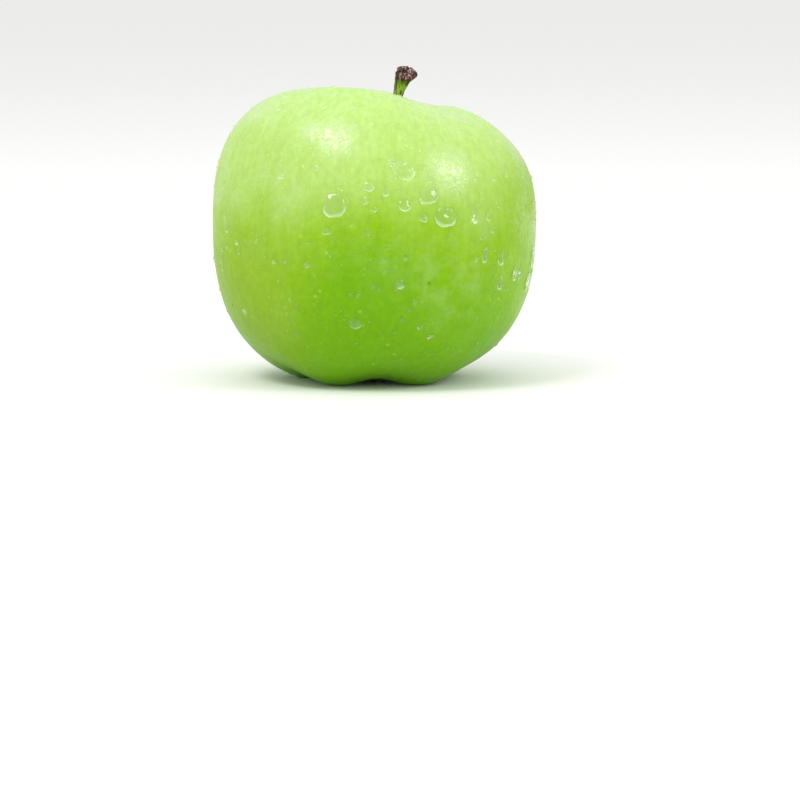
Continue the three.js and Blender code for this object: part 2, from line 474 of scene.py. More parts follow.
def follow(knots, at):
    """The height of a smooth curve through knots, each (place, height), at a place between them."""
    last = len(knots) - 1
    i = next((k for k in range(last) if at <= knots[k + 1][0]), last - 1)
    (x0, y0), (x1, y1) = knots[i], knots[i + 1]
    before, after = knots[max(i - 1, 0)], knots[min(i + 2, last)]
    slope_in = (y1 - before[1]) / (x1 - before[0])
    slope_out = (after[1] - y0) / (after[0] - x0)
    span = x1 - x0
    t = (at - x0) / span
    return (
        (2 * t**3 - 3 * t**2 + 1) * y0
        + (t**3 - 2 * t**2 + t) * span * slope_in
        + (3 * t**2 - 2 * t**3) * y1
        + (t**3 - t**2) * span * slope_out
    )


# ---- The fruit ----------------------------------------------------------------------------------

FRUIT_FIELDS = (
    "width depth crown_rise base_drop top_fullness bottom_fullness row_bias cavity_depth cavity_width "
    "cavity_sharpness cavity_x cavity_y basin_depth basin_width basin_sharpness basin_x basin_y "
    "shoulder_lift shoulder_radius shoulder_towards shoulder_fade ripple ripple_turn boss_height "
    "boss_radius boss_x boss_y lobe_drop lobe_bulge lobe_ring lobe_turn lobe_uneven foot_cut dimpling"
).split()
COLUMNS, ROWS = 360, 240
LOBES, WAVES = 5, 3

# Marks on the skin, in millimetres: the middle of each, how far round it the mark reaches and, for
# some, the radius of its core, where it is at its strongest.
DARK_SPECKS = (
    ((13, -36.5, 27), 0.65),
    ((-2.5, -27, 68), 0.9),
    ((-34.5, -13.5, 19.5), 0.7),
    ((31.5, 22.5, 44), 0.8),
    ((-29.5, 24.5, 30), 0.7),
)
# Wet patches, laid where the key and side lights shine back off the skin; their pale misting of fine drops is
# partly painted highlight.
WET_AND_HIGHLIGHT_PATCHES = (
    ((-15.0, -30.5, 62.5), 4.5),
    ((-8.5, -33.5, 61.0), 7.5),
    ((18.0, -33.0, 54.0), 9.0),
)
# Painted shade: a patch of deeper green low on the front.
PAINTED_SHADE_FRONT = ((1, -38, 31), 24, 2)
LOW_LEFT_YELLOW = ((-32, -20, 20), 30, 4)
RUBBED_BLOOM = ((18.5, -34, 27), 19, 2)

# The dark specks' colour, as red, green and blue in linear light.
SPECK_BROWN = (0.05, 0.07, 0.01)


def skin_nodes(bench, _, size):
    """A sphere whose points all follow the rule of the fruit's outline."""
    ball = bench.node("GeometryNodeMeshUVSphere", {"Segments": COLUMNS, "Rings": ROWS, "Radius": 1.0})
    x, y, z = bench.split(bench.node("GeometryNodeInputPosition"))
    azimuth = bench.math("ARCTAN2", y, x)
    polar = bench.math("ARCCOSINE", bench.math("MAXIMUM", bench.math("MINIMUM", z, 1.0), -1.0))
    on_top = bench.math("LESS_THAN", polar, pi / 2)

    def by_half(top, bottom):
        return bench.mix(on_top, bottom, top, "FLOAT")

    from_pole = by_half(polar, pi - polar) / (pi / 2)
    turn = (pi / 2) * from_pole**size.row_bias
    power = 2 / by_half(size.top_fullness, size.bottom_fullness)
    ring = bench.math("SINE", turn) ** power
    rise = bench.math("MAXIMUM", bench.math("COSINE", turn), 0.0) ** power

    def wave(times, towards):
        return bench.math("COSINE", times * (azimuth - towards))

    lobes = wave(LOBES, size.lobe_turn) + size.lobe_uneven * wave(2, -0.35)
    ribbing = bench.step(polar / pi, 0.2, 0.8)
    radius = size.width / 2 * ring * (1 + size.lobe_bulge * lobes * ribbing * ring)
    shift = (1 - ring * ring) ** 2
    hole_x = by_half(size.cavity_x, size.basin_x)
    hole_y = by_half(size.cavity_y, size.basin_y)
    across = radius * bench.math("COSINE", azimuth) + hole_x * shift
    along = radius * (size.depth / size.width) * bench.math("SINE", azimuth) + hole_y * shift

    hole_width = by_half(size.cavity_width, size.basin_width)
    sharpness = by_half(size.cavity_sharpness, size.basin_sharpness)
    sunk = bench.math("EXPONENT", -1 * (radius / hole_width) ** sharpness)
    lean = size.shoulder_lift * wave(1, size.shoulder_towards) * radius / size.shoulder_radius
    near = bench.math("MINIMUM", radius / size.shoulder_radius, 1.0)
    ripple = size.ripple * wave(WAVES, size.ripple_turn) * near * near
    off_x, off_y = across - size.boss_x, along - size.boss_y
    off = (off_x * off_x + off_y * off_y) / (size.boss_radius * size.boss_radius)
    boss = size.boss_height * bench.math("EXPONENT", -1 * off)
    shoulders = rise**size.shoulder_fade * (lean + ripple)
    top = size.crown_rise * rise - size.cavity_depth * sunk + shoulders + boss
    reach = (ring / size.lobe_ring) ** 2
    drop = size.lobe_drop * lobes * reach * bench.math("EXPONENT", 1 - reach)
    bottom = size.basin_depth * sunk - size.base_drop * rise - drop
    height = by_half(top, bottom)

    # What the skin's paint follows: how deep it is in a hollow, and the run of its ribs.
    around = bench.combine(bench.math("COSINE", azimuth), bench.math("SINE", azimuth), polar)
    marked = bench.store(ball, "cavity", sunk * on_top)
    marked = bench.store(marked, "basin", sunk * (1 - on_top))
    marked = bench.store(marked, "around", around, "FLOAT_VECTOR")

    def limits(value):
        inputs = {"Geometry": ball, 2: value}
        node = bench.node("GeometryNodeAttributeStatistic", inputs, "Min", data_type="FLOAT").socket.node
        return Wire(bench, node.outputs["Min"]), Wire(bench, node.outputs["Max"])

    def centred(value):
        low, high = limits(value)
        return value - (low + high) / 2

    stood = bench.math("MAXIMUM", height - limits(height)[0] - size.foot_cut, 0.0)
    shape = bench.combine(centred(across), centred(along), stood)
    formed = bench.node("GeometryNodeSetPosition", {"Geometry": marked, "Position": shape})

    place = bench.node("GeometryNodeInputPosition")
    uneven = bench.noise(place, 75.0, 1.5) + 0.4 * bench.noise(place, 210.0, 1.0) - 0.7
    clear = bench.step(bench.split(place)[2], 0.0005, 0.009)
    offset = bench.scaled(bench.node("GeometryNodeInputNormal"), uneven * size.dimpling * clear)
    return bench.node("GeometryNodeSetPosition", {"Geometry": formed, "Offset": offset})


def mark(bench, place, middle, reach, core=0.0):
    """How strong a mark is at a place: 1 in its core, 0 past its reach, smooth between.

    The mark's middle, reach and core are in millimetres.
    """
    away = bench.vector_math("DISTANCE", place, [part * MM for part in middle], output="Value")
    return bench.step(away, reach * MM, core * MM)


def skin_ground(bench, skin, place, height, around, drift):
    """Greens that climb unevenly from calyx to crown, partly the skin's own colour and partly painted light
    and shade (paler up top, darker low down), with painted shade low on the front and on the right, a
    yellower patch low on the left, mottled and grained.
    """
    streaks = bench.noise(around, 1.0, 4.0, 0.62, stretch=(7.0, 7.0, 1.6))
    # Painted shade: this patch pulls the greens down to darker ones low on the front.
    deep = mark(bench, place, *PAINTED_SHADE_FRONT)
    level = height + 0.26 * (drift - 0.5) + 0.16 * (streaks - 0.5) - 0.16 * deep
    # Partly painted light and shade: the greens go from the dark base green low down to the pale crown green
    # at the top, as the light falls from above, as well as by the skin's own colour.
    ground = bench.mix(bench.step(level, 0.18, 0.58), skin.base_green, skin.cheek_green)
    ground = bench.mix(bench.step(level, 0.42, 0.80), ground, skin.shoulder_green)
    ground = bench.mix(bench.step(level, 0.76, 1.0), ground, skin.crown_green)

    # Painted shade: the right side keeps the cheek's darker green up to the shoulder, as if less lit. Low on
    # the left is a yellower patch.
    right_painted_shade = bench.step(bench.split(place)[0], 0.027, 0.0395) * bench.step(height, 0.90, 0.66)
    ground = bench.mix(right_painted_shade * 0.8, ground, skin.cheek_green)
    blush = mark(bench, place, *LOW_LEFT_YELLOW) * (0.25 + 0.4 * bench.noise(place, 120.0, 3.0))
    ground = bench.mix(blush, ground, skin.warm_yellow)

    # The mottling is drawn out a little from calyx to stem.
    mottling = bench.noise(around, 1.0, 3.0, 0.65, stretch=(26.0, 26.0, 9.0))
    grain = bench.noise(place, 650.0, 2.0, 0.6)
    for pattern, darker, paler in (
        (mottling, (0.96, 0.97, 0.90), (1.04, 1.03, 1.10)),
        (grain, (0.95, 0.96, 0.90), (1.05, 1.04, 1.09)),
    ):
        tone = bench.mix(bench.step(pattern, 0.3, 0.7), darker, paler)
        ground = bench.mix(1.0, ground, tone, blend="MULTIPLY")
    return ground


def skin_marks(bench, skin, place, height, ground, haze, russet):
    """Lays on the ground, in turn, wax (thicker towards the top as painted sheen), pale pores, cork, the
    basin's yellow and the dark specks.
    """
    # Wax bloom, partly painted sheen: its pale haze grows stronger towards the top, where the light falls.
    ground = bench.mix(haze * (0.06 + 0.32 * bench.step(height, 0.3, 0.85)), ground, skin.bloom_and_sheen_white)
    rubbed = bench.step(bench.noise(place, 280.0, 4.0, 0.6), 0.36, 0.70)
    ground = bench.mix(mark(bench, place, *RUBBED_BLOOM) * rubbed * 0.14, ground, skin.bloom_and_sheen_white)
    shy = bench.step(bench.noise(place, 110.0), 0.40, 0.62)
    pores = bench.math("MAXIMUM", bench.dots(place, 300.0, 0.20), bench.dots(place, 520.0, 0.24) * 0.6)
    ground = bench.mix(pores * (0.12 + 0.26 * shy), ground, skin.pore_pale)
    ground = bench.mix(russet * 0.85, ground, skin.russet)
    ground = bench.mix(bench.step(bench.stored("basin"), 0.35, 0.95) * 0.5, ground, skin.warm_yellow)
    for middle, reach in DARK_SPECKS:
        ground = bench.mix(mark(bench, place, middle, reach) * 0.85, ground, SPECK_BROWN)
    return ground


def wet_skin(bench, skin, place, ground):
    """Where the skin is wet, and its colour whitened over the wet patches, which lie where the lights shine
    back: partly a misting of fine drops, partly painted highlight.
    """
    wet = bench.step(bench.noise(place, 95.0, 3.0, 0.6), 0.42, 0.62)
    mist_and_highlight = 0.05 + 0.65 * bench.noise(place, 700.0, 4.0, 0.7)
    for middle, reach in WET_AND_HIGHLIGHT_PATCHES:
        wet = bench.math("MAXIMUM", wet, mark(bench, place, middle, reach, 0.6 * reach))
        # Painted highlight: a pale misting lightens the skin's colour where the lights shine back.
        ground = bench.mix(mark(bench, place, middle, reach, 0.2 * reach) * mist_and_highlight, ground, skin.bloom_and_sheen_white)
    return wet, ground


def skin_material(skin):
    """Waxy green skin, paler and yellower up to the stem, partly its own colour and partly painted light,
    under a broken film of water.
    """
    material, bench, place = new_material("apple_skin")
    height = bench.split(place)[2] / FRUIT_TALL
    around = bench.stored("around", "Vector")
    drift = bench.noise(place, 38.0, 3.0)
    haze = bench.step(bench.noise(place, 55.0, 4.0, 0.6), 0.50, 0.80)
    cork = bench.noise(around, 1.0, 4.0, 0.65, stretch=(5.0, 5.0, 1.5))
    russet = bench.step(bench.stored("cavity") + 0.5 * (cork - 0.5), 0.62, 0.95)
    ground = skin_ground(bench, skin, place, height, around, drift)
    ground = skin_marks(bench, skin, place, height, ground, haze, russet)
    wet, ground = wet_skin(bench, skin, place, ground)

    # The film is broken up where it has drawn back from the wax, and thinner low down.
    broken = bench.step(bench.noise(place, 760.0, 4.0, 0.75), 0.38, 0.56)
    film = wet * broken * (0.1 + 0.65 * bench.step(height, 0.3, 0.6))
    relief = (
        0.25 * bench.noise(place, 1500.0, 2.0)
        + (0.45 + 0.35 * wet) * bench.noise(place, 620.0, 2.0, 0.6)
        + 0.6 * bench.noise(place, 260.0, 1.0)
        + 0.35 * wet * bench.dots(place, 1100.0, 0.5)
        + 1.5 * russet * bench.noise(place, 700.0, 3.0)
    )
    bump = bench.bump(relief, 0.00013, 1.0)
    surface(
        bench,
        Base_Color=ground,
        Roughness=0.38 + 0.12 * haze + 0.10 * (drift - 0.5) + 0.3 * russet,
        Normal=bump,
        Specular_IOR_Level=0.12,
        Coat_Weight=film,
        Coat_Roughness=0.2,
        Coat_IOR=1.5,
        Coat_Normal=bump,
        Subsurface_Weight=0.10,
        Subsurface_Radius=(0.6, 1.0, 0.15),
        Subsurface_Scale=0.003,
    )
    return material


class APPLE_OT_fruit(bpy.types.Operator):
    """Grow the fruit's skin"""

    bl_idname = "apple.fruit"
    bl_label = "Fruit"

    def execute(self, context):
        skin = context.scene.apple_fruit
        seedling = bpy.data.meshes.new("seedling")
        fruit = grow("fruit_skin", seedling, skin, FRUIT_FIELDS, skin_nodes, skin_material(skin))
        fruit.cycles.is_caustics_receiver = True
        finish_piece(fruit, "skin", "fruit")
        return {"FINISHED"}


# ---- The stem -----------------------------------------------------------------------------------

STEM_SIDES, STEM_RINGS, FACE_RINGS = 72, 110, 16


def stem_radius(stem, height):
    """The shaft's radius at a height above the cavity's floor: thick at the root, flared to the knob."""
    top = stem.tall / MM
    knots = (
        (-stem.root / MM, 1.75),
        (0.0, 1.6),
        (3.0, 1.35),
        (8.0, 1.2),
        (12.0, 1.2),
        (top - 4.9, 1.3),
        (top - 3.4, 1.55),
        (top - 1.9, 1.95),
        (top - 0.7, 2.38),
        (top, 2.25),
    )
    return follow(knots, height / MM) * MM


def stem_point(stem, foot, height, out, side):
    """A point of the stem, out from its axis, at a height above the cavity's floor."""
    share = min(max(height / stem.tall, 0.0), 1.0)
    lean = share**stem.lean_power
    x, y = out * cos(side), out * sin(side)
    downhill = x * cos(stem.face_towards) + y * sin(stem.face_towards)
    drop = stem.face_slope * smoothstep(share, 0.75, 1.0) * downhill
    return foot + Vector((x + stem.lean_x * lean, y + stem.lean_y * lean, height - drop))


def bark_relief(tall, side, knob):
    """How far the bark stands out, as a share of the radius: furrowed, then lumpy and split on the knob.

    tall is the height in millimetres, and knob is 0 on the shaft and 1 on the knob.
    """
    spot = Vector((cos(side), sin(side), 0))
    furrow = 0.08 * cos(5 * side + 0.12 * tall) + 0.04 * cos(9 * side + 1.3)
    bark = 0.10 * noise.fractal(spot * 1.6 + Vector((0, 0, tall * 0.45)), 0.8, 2.0, 4)
    lumps = 0.17 * noise.noise(spot * 2.6 + Vector((3.1, 0, tall * 1.1)))
    split = 0.10 * smoothstep(noise.noise(spot * 4.2 + Vector((0, 7.7, tall * 0.25))), 0.15, 0.5)
    corner = 0.20 * exp(-(((side + 0.25 + pi) % tau - pi) ** 2) / 0.08)
    return (1 - knob) * furrow + bark + knob * (lumps - split + corner)


def torn_end(spot, share):
    """How far the broken end stands up, in millimetres, and how deep in its wood that is, up to 1.

    spot is off the end's middle, in millimetres, and share runs from 0 at the rim to 1 at the middle.
    """
    torn = noise.fractal(spot * 1.3 + Vector((5.2, 0, 0)), 0.7, 2.1, 4)
    crack = smoothstep(abs(noise.noise(spot * 0.9 + Vector((0, 2.4, 0)))), 0.10, 0.0)
    lip = smoothstep(share, 0.0, 0.14)
    hollow = smoothstep(share, 0.25, 0.9)
    rise = lip * (0.22 * (1 - hollow) + 0.42 * torn - 0.5 * crack) - 0.55 * hollow
    depth = lip * (0.25 + 0.6 * crack) + 0.6 * hollow - 0.5 * torn
    return rise, min(1.0, depth)


def stem_piece(stem, foot, material):
    """A furrowed shaft that leans, and a lumpy knob whose broken end is cracked."""
    sides = [tau * k / STEM_SIDES for k in range(STEM_SIDES)]
    points, along, inward = [], [], []
    for ring in range(STEM_RINGS):
        height = -stem.root + (stem.tall + stem.root) * ring / (STEM_RINGS - 1)
        knob = smoothstep(height / stem.tall, 0.84, 0.99)
        radius = stem_radius(stem, height)
        for side in sides:
            out = radius * (1 + bark_relief(height / MM, side, knob))
            points.append(stem_point(stem, foot, height, out, side))
            along.append((height + stem.root) / (stem.tall + stem.root))
            inward.append(0.0)

    rim = [Vector(point) for point in points[-STEM_SIDES:]]
    centre = sum(rim, Vector()) / STEM_SIDES
    for ring in range(1, FACE_RINGS + 1):
        share = ring / (FACE_RINGS + 1)
        for corner in rim:
            spot = corner.lerp(centre, share)
            rise, depth = torn_end((spot - centre) / MM, share)
            points.append(spot + Vector((0, 0, rise * MM)))
            along.append(1.0)
            inward.append(depth)
    points.append(foot + Vector((0, 0, -stem.root)))
    points.append(centre - Vector((0, 0, 0.5 * MM)))
    along += [0.0, 1.0]
    inward += [0.0, 1.0]
    faces = loft_faces(STEM_RINGS + FACE_RINGS, STEM_SIDES)
    return new_mesh("stem_bark", points, faces, material, {"along": along, "inward": inward})


def stem_material(stem):
    """Young green bark, brown towards the knob, and torn wood at the broken end, painted darker the deeper it
    lies, as shade in its cracks and hollow.
    """
    material, bench, place = new_material("stem_bark")
    along, inward = bench.stored("along"), bench.stored("inward")
    fibres = bench.noise(place, 1500.0, 4.0, 0.6, stretch=(1.0, 1.0, 0.16))
    patches = bench.noise(place, 700.0, 3.0, 0.6)
    uneven = patches - 0.5
    bark = bench.mix(bench.step(fibres, 0.38, 0.60), stem.bark_shade, stem.bark_green)
    bark = bench.mix(bench.step(along, 0.32, 0.0) * 0.75, bark, stem.bark_shade)
    bark = bench.mix(bench.step(along + 0.1 * uneven, 0.82, 0.93) * 0.7, bark, stem.bark_shade)
    brown = bench.mix(bench.step(patches, 0.38, 0.66), stem.dark_wood_and_hollow_shade, stem.wood_brown)
    brown = bench.mix(bench.step(fibres, 0.54, 0.66) * 0.7, brown, stem.wood_pale)
    paint = bench.mix(bench.step(along + 0.14 * uneven, 0.905, 0.95), bark, brown)
    # Painted shade: the broken end's wood gets darker the deeper it lies in its hollow and cracks.
    torn = bench.mix(bench.step(inward, 0.75, 0.35), stem.dark_wood_and_hollow_shade, stem.wood_brown)
    flecks = bench.noise(place, 1500.0, 3.0, 0.7)
    torn = bench.mix(bench.step(flecks, 0.50, 0.62), torn, stem.wood_pale)
    torn = bench.mix(bench.step(patches, 0.54, 0.42), torn, stem.dark_wood_and_hollow_shade)
    paint = bench.mix(bench.step(inward, 0.02, 0.15), paint, torn)
    bump = bench.bump(fibres + 0.6 * patches, 0.00015)
    surface(bench, Base_Color=paint, Roughness=0.68 + 0.2 * uneven, Normal=bump, Specular_IOR_Level=0.35)
    return material


def deepest(attribute):
    """The middle of a hollow of the fruit: where one of its skin's attributes is highest."""
    skin = bpy.data.objects["fruit_skin"].data
    values = [entry.value for entry in skin.attributes[attribute].data]
    return skin.vertices[values.index(max(values))].co.copy()


class APPLE_OT_stem(bpy.types.Operator):
    """Stand the stem in its cavity"""

    bl_idname = "apple.stem"
    bl_label = "Stem"

    def execute(self, context):
        stem = context.scene.apple_stem
        finish_piece(stem_piece(stem, deepest("cavity"), stem_material(stem)), "stem", "stem")
        return {"FINISHED"}


# ---- The calyx ----------------------------------------------------------------------------------

SEPALS = 5
SEPAL_RINGS, SEPAL_SIDES = 26, 20


def sepal_piece(calyx, floor, index, material):
    """A dry blade that tucks in over the stamens, then curls out and twists to a ragged tip."""
    turned = calyx.sepal_turn + tau / SEPALS * index
    points, edge = [], []
    quirk = noise.noise(Vector((index * 3.7, 1.3, 0.4)))
    long = calyx.sepal_length * (1 + 0.25 * quirk)
    for ring in range(SEPAL_RINGS):
        share = ring / (SEPAL_RINGS - 1)
        outline = max(sin(pi * (0.28 + 0.72 * share)), 0.0) ** 0.8
        ragged = 1 + 0.16 * noise.noise(Vector((share * 7, index * 2.9, 0)))
        half_width = max(calyx.sepal_width / 2 * outline * ragged, 0.08 * MM)
        half_thick = calyx.sepal_thick / 2 * (1 - 0.7 * share)
        inward = calyx.sepal_tuck * sin(pi * share * 0.9)
        flare = calyx.sepal_flare * (1 + 0.5 * quirk) * share**3
        out = calyx.sepal_ring - inward + flare
        fall = calyx.sepal_hang + long * (share - 0.22 * share**3)
        twist = 0.9 * quirk * share + 0.25 * sin(5 * share + index)
        for k in range(SEPAL_SIDES):
            side = tau * k / SEPAL_SIDES
            wide, thick = half_width * cos(side), half_thick * sin(side)
            crinkle = 0.10 * MM * noise.noise(Vector((wide / MM * 1.4, share * 6, index)))
            cup = 0.14 / MM * wide * wide
            across = wide * cos(twist)
            outward = out - cup + thick + crinkle + wide * sin(twist) * 0.8
            x = outward * cos(turned) - across * sin(turned)
            y = outward * sin(turned) + across * cos(turned)
            points.append(floor + Vector((x, y, -fall)))
            edge.append(abs(cos(side)) ** 6 + 0.6 * share)
    rows = SEPAL_RINGS * SEPAL_SIDES
    for ring in (points[:SEPAL_SIDES], points[rows - SEPAL_SIDES : rows]):
        points.append(sum(ring, Vector()) / SEPAL_SIDES)
        edge.append(0.5)
    faces = loft_faces(SEPAL_RINGS, SEPAL_SIDES)
    flipped = [tuple(reversed(face)) for face in faces]
    return new_mesh(f"dry_sepal_{index + 1}", points, flipped, material, {"edge": edge})


def sepal_material(calyx):
    material, bench, place = new_material("dry_sepal")
    veins = bench.noise(place, 1900.0, 4.0, 0.65, stretch=(1.0, 1.0, 0.3))
    uneven = veins - 0.5
    shade = bench.step(bench.stored("edge") + 0.5 * uneven, 0.45, 1.1)
    paint = bench.mix(shade, calyx.sepal_brown, calyx.sepal_shade)
    bump = bench.bump(veins, 0.00015)
    surface(bench, Base_Color=paint, Roughness=0.8 + 0.15 * uneven, Normal=bump, Specular_IOR_Level=0.3)
    return material


class APPLE_OT_sepals(bpy.types.Operator):
    """Hang the dried sepals in the basin"""

    bl_idname = "apple.sepals"
    bl_label = "Sepals"

    def execute(self, context):
        calyx = context.scene.apple_calyx
        floor, material = deepest("basin"), sepal_material(calyx)
        for index in range(SEPALS):
            finish_piece(sepal_piece(calyx, floor, index, material), "sepal", f"sepal_{index + 1}")
        return {"FINISHED"}


STAMEN_FIELDS = "threads thread_long thread_thick tuft_radius thread_seed".split()

# Each thread is turned this far round from the one before, so that they fill the disc evenly.
GOLDEN_TURN = 2.39996


def stamen_thread(bench, size):
    """One thread of unit length, bowed a little, hanging down, with a grain of pollen at the tip."""
    thick = size.thread_thick / size.thread_long
    inputs = {"Resolution": 6, "Start": (0, 0, 0.25), "Middle": (0.16, 0, -0.5), "End": (0, 0, -1)}
    line = bench.node("GeometryNodeCurveQuadraticBezier", inputs)
    ring = bench.node("GeometryNodeCurvePrimitiveCircle", {"Resolution": 6, "Radius": thick})
    inputs = {"Curve": line, "Profile Curve": ring, "Fill Caps": True}
    thread = bench.node("GeometryNodeCurveToMesh", inputs)
    grain = bench.node("GeometryNodeMeshIcoSphere", {"Subdivisions": 1, "Radius": 2.1 * thick})
    inputs = {"Geometry": grain, "Translation": (0, 0, -1), "Scale": (1, 1, 1.5)}
    return bench.join(thread, bench.node("GeometryNodeTransform", inputs))


def stamen_nodes(bench, start, size):
    """Threads that hang from a disc, each leaning its own way."""
    inputs = {"Geometry": start, "Value": bench.node("GeometryNodeInputPosition")}
    middle = bench.node("GeometryNodeSampleIndex", inputs, data_type="FLOAT_VECTOR")
    index = bench.node("GeometryNodeInputIndex")
    out = size.tuft_radius * ((index + 0.5) / size.threads) ** 0.5
    turned = index * GOLDEN_TURN
    sine, cosine = bench.math("SINE", turned), bench.math("COSINE", turned)
    roots = bench.node("GeometryNodePoints", {"Count": size.threads})
    placed = bench.vector_math("ADD", middle, bench.combine(out * cosine, out * sine, 0.0))
    roots = bench.node("GeometryNodeSetPosition", {"Geometry": roots, "Position": placed})

    def luck(low, high, salt):
        return bench.random(low, high, size.thread_seed + salt)

    splay = out / size.tuft_radius * 0.30
    tilt = bench.combine(
        splay * sine * -1 + luck(-0.10, 0.10, 1),
        splay * cosine + luck(-0.10, 0.10, 2),
        luck(0.0, tau, 3),
    )
    inputs = {
        "Points": roots,
        "Instance": stamen_thread(bench, size),
        "Rotation": tilt,
        "Scale": size.thread_long * luck(0.6, 1.0, 4),
    }
    return bench.node("GeometryNodeInstanceOnPoints", inputs)


def thread_material(calyx):
    material, bench, place = new_material("dry_thread")
    spots = bench.noise(place, 1500.0, 3.0)
    dark = [0.35 * part for part in calyx.thread_brown]
    paint = bench.mix(bench.step(spots, 0.35, 0.65), dark, calyx.thread_brown)
    surface(bench, Base_Color=paint, Roughness=0.85, Specular_IOR_Level=0.3)
    return material


class APPLE_OT_stamens(bpy.types.Operator):
    """Fill the sepals with their tuft of stamens"""

    bl_idname = "apple.stamens"
    bl_label = "Stamens"

    def execute(self, context):
        calyx = context.scene.apple_calyx
        root = bpy.data.meshes.new("root")
        root.from_pydata([deepest("basin") - Vector((0, 0, 0.4 * MM))], [], [])
        material = thread_material(calyx)
        tuft = grow("stamen_threads", root, calyx, STAMEN_FIELDS, stamen_nodes, material)
        finish_piece(tuft, "stamen", "stamens")
        return {"FINISHED"}


# ---- The water ----------------------------------------------------------------------------------

WATER_FIELDS = "smallest largest rarity density spacing seed wander".split()

# The large drops: direction from the right in degrees, height and width in millimetres, how much
# longer than wide the drop has run, and how many degrees its run leans from straight down.
LARGE_DROPS = (
    (-79.5, 53.7, 4.2, 1.45, 58),
    (-84, 55.7, 2.0, 1.1, 0),
    (-104, 45.6, 5.6, 1.05, 0),
    (-92, 50.0, 2.7, 0.95, 0),
    (-86, 49.0, 1.7, 1.45, 0),
    (-93.5, 46.8, 1.6, 1.1, 0),
    (-79.5, 45.8, 2.9, 1.15, 0),
    (-64.5, 42.8, 5.6, 0.95, 0),
    (-71, 47.6, 4.8, 0.85, 0),
    (-70, 51.6, 1.8, 1.1, 0),
    (-53, 42.9, 2.2, 2.0, 0),
    (-73, 42.7, 2.1, 1.1, 0),
    (-81, 26.9, 2.1, 1.2, 0),
    (-97.5, 17.4, 2.9, 1.0, 0),
    (-48, 33.1, 2.1, 1.9, 0),
    (-40, 32.1, 2.1, 1.9, 0),
    (-39, 25.9, 2.0, 1.9, 0),
    (-30, 27.8, 2.1, 1.8, 0),
    (-26, 27.6, 1.7, 2.0, 0),
    (-12, 30.9, 3.4, 1.6, 0),
    (-15, 24.9, 3.2, 1.6, 0),
    (-72, 16.4, 1.0, 1.7, -50),
    (-67, 13.7, 1.0, 1.7, -45),
    (-149, 18.6, 1.0, 1.8, 45),
    (-125, 52.4, 2.0, 1.1, 0),
    (-111, 54.3, 1.2, 1.1, 0),
    (-42, 51.0, 1.4, 1.1, 0),
    (-154, 38.5, 1.5, 1.5, 0),
    (-107, 39.6, 2.2, 0.9, 0),
    (-49.5, 37.3, 1.1, 1.3, 0),
    (-44.5, 39.0, 1.2, 1.3, 0),
    (-60, 38.4, 1.1, 1.2, 0),
    (-52, 32.3, 1.1, 1.4, 0),
    (-47, 42.0, 1.2, 1.4, 0),
    (-147, 35.6, 1.1, 1.2, 0),
    (-114, 31.5, 1.3, 1.4, 0),
    (-113.5, 37.2, 1.0, 1.5, 20),
    (-85.5, 35.7, 1.0, 1.1, 0),
    (-90, 44.7, 1.1, 1.1, 0),
    (-69, 48.5, 1.5, 1.2, 0),
    (20, 50.0, 3.6, 1.1, 0),
    (65, 40.0, 4.4, 1.15, 10),
    (95, 56.0, 2.6, 1.1, 0),
    (118, 33.0, 3.2, 1.4, 0),
    (160, 47.0, 2.8, 1.0, 0),
    (178, 30.0, 2.0, 1.6, 0),
)

# The mesh of a drop of unit radius: its segments and rings, its height, and how much fuller it is below.
LARGE_BEAD = (40, 22, 0.38, 0.30)
SMALL_BEAD = (9, 5, 0.42, 0.15)

# How fast a large drop gets flatter as it gets wider, in one over square metres.
FLATTENING = 8000.0


def bead(bench, segments, rings, tall, sag):
    """A drop of unit radius, +Z off the skin and +Y up it: fuller below, and rooted under the skin."""
    ball = bench.node("GeometryNodeMeshUVSphere", {"Segments": segments, "Rings": rings, "Radius": 1.0})
    x, y, z = bench.split(bench.node("GeometryNodeInputPosition"))
    above = bench.math("GREATER_THAN", z, 0.0)
    crown = z * tall * (1 - sag * y)
    shape = bench.combine(x * (1 - 0.35 * sag * y), y, bench.mix(above, z * 0.12, crown, "FLOAT"))
    off_high = y - 0.35
    marked = bench.store(ball, "low", (x * x + off_high * off_high) ** 0.5)
    return bench.node("GeometryNodeSetPosition", {"Geometry": marked, "Position": shape})


def stand(bench, points, drop, wide, normal, flat=0.0, run=1.0, lean=0.0):
    """Stands a drop on each point, off the skin and upright, then leans it and draws it out."""
    inputs = {0: normal, 1: (0, 0, 1)}
    upright = bench.node("FunctionNodeAxesToRotation", inputs, primary_axis="Z", secondary_axis="Y")
    inputs = {"Rotation": upright, "Rotate By": bench.combine(0.0, 0.0, lean)}
    turned = bench.node("FunctionNodeRotateRotation", inputs, rotation_space="LOCAL")
    half = wide / 2
    scale = bench.combine(half, half * run, half / (1 + flat * wide * wide))
    inputs = {"Points": points, "Instance": drop, "Rotation": turned, "Scale": scale}
    return bench.node("GeometryNodeInstanceOnPoints", inputs)


